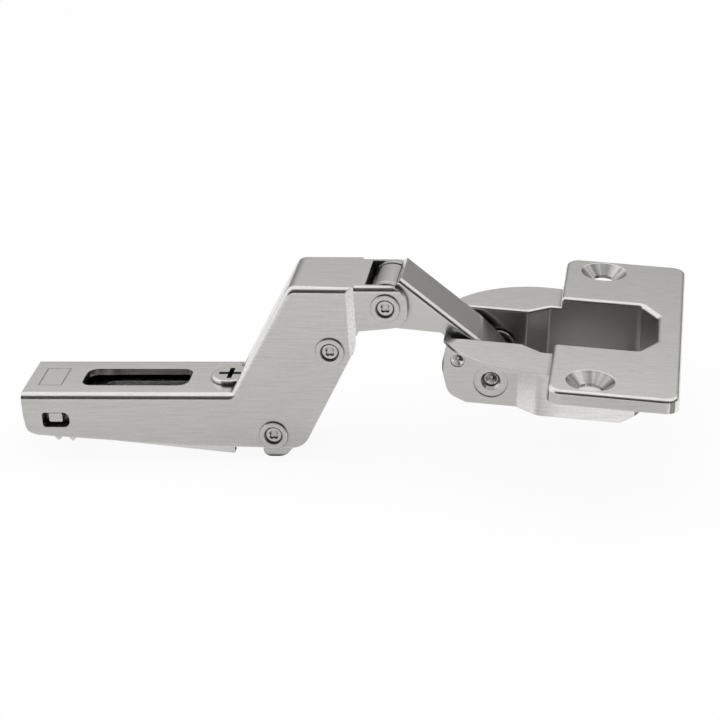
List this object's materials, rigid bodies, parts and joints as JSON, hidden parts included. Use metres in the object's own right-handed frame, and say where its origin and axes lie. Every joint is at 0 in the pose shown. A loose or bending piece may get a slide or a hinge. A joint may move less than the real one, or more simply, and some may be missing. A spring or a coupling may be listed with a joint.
{
  "type": "cranked concealed hinge",
  "caption": "Cranked concealed cabinet hinge, fully open: slotted arm with a side adjusting screw, riveted links and a drawn cup with a screw tray.",
  "frame": {"origin": "underside of the rail's web, where the mounting plate seats, on the middle plane", "axes": "+X along the arm towards the cup, +Y across the hinge, +Z away from the cabinet side"},
  "size_m": [0.114, 0.0548, 0.0331],
  "materials": {
    "nickel_plated_steel": "brushed nickel plate",
    "plated_fastener": "turned, nickel plated",
    "spring_wire": "drawn wire"
  },
  "bodies": {
    "rail": {"inner_rail": "nickel_plated_steel"},
    "arm": {"hinge_arm": "nickel_plated_steel", "rivet_a": "plated_fastener", "rivet_b": "plated_fastener", "rivet_c": "plated_fastener", "rivet_a_washer_near": "plated_fastener", "rivet_a_washer_far": "plated_fastener", "rivet_b_washer_near": "plated_fastener", "rivet_b_washer_far": "plated_fastener", "rivet_c_washer_near": "plated_fastener", "rivet_c_washer_far": "plated_fastener", "inner_link_bush_near": "plated_fastener", "inner_link_bush_far": "plated_fastener", "catch_spring": "spring_wire"},
    "side_screw": {"side_adjust_screw": "plated_fastener"},
    "catch": {"front_catch": "nickel_plated_steel"},
    "outer_link": {"outer_link": "nickel_plated_steel", "link_sleeve": "plated_fastener"},
    "cup": {"cup": "nickel_plated_steel", "cup_front_pin": "plated_fastener", "cup_rear_pin": "plated_fastener", "front_pin_spacer_near": "plated_fastener", "front_pin_spacer_far": "plated_fastener", "closing_spring_near": "spring_wire", "closing_spring_far": "spring_wire"},
    "inner_link": {"inner_link": "nickel_plated_steel"}
  },
  "joints": [
    {"name": "arm_tilt", "type": "hinge", "parent": "rail", "child": "arm", "pos_m": [0.00135, 0, -0.00095], "axis": [0, 1, 0], "range_deg": [-1.2, 1.2]},
    {"name": "side_screw_turn", "type": "hinge", "parent": "arm", "child": "side_screw", "pos_m": [0.0317, 0, 0.0044], "axis": [0, 0, 1], "range_deg": [-288, 288]},
    {"name": "catch_swing", "type": "hinge", "parent": "arm", "child": "catch", "pos_m": [0.0399, 0, -0.0039], "axis": [0, 1, 0], "range_deg": [-12, 0], "stiffness_Nm_per_rad": 0.02, "springref_deg": 11.46},
    {"name": "outer_link_swing", "type": "hinge", "parent": "arm", "child": "outer_link", "pos_m": [0.0606, 0, 0.0194], "axis": [0, 1, 0], "range_deg": [0, 45.1]},
    {"name": "door_fold", "type": "hinge", "parent": "outer_link", "child": "cup", "pos_m": [0.0778, 0, 0.0064], "axis": [0, 1, 0], "range_deg": [-140.5, 0]},
    {"name": "inner_link_swing", "type": "hinge", "parent": "cup", "child": "inner_link", "pos_m": [0.0724, 0, 0.0103], "axis": [0, 1, 0], "range_deg": [0, 155.9]}
  ],
  "couplings": [
    {"joint": "side_screw_turn", "follows": "arm_tilt", "ratio": -238.4},
    {"joint": "outer_link_swing", "follows": "door_fold", "ratio": -0.32032},
    {"joint": "inner_link_swing", "follows": "door_fold", "ratio": -1.1088}
  ]
}
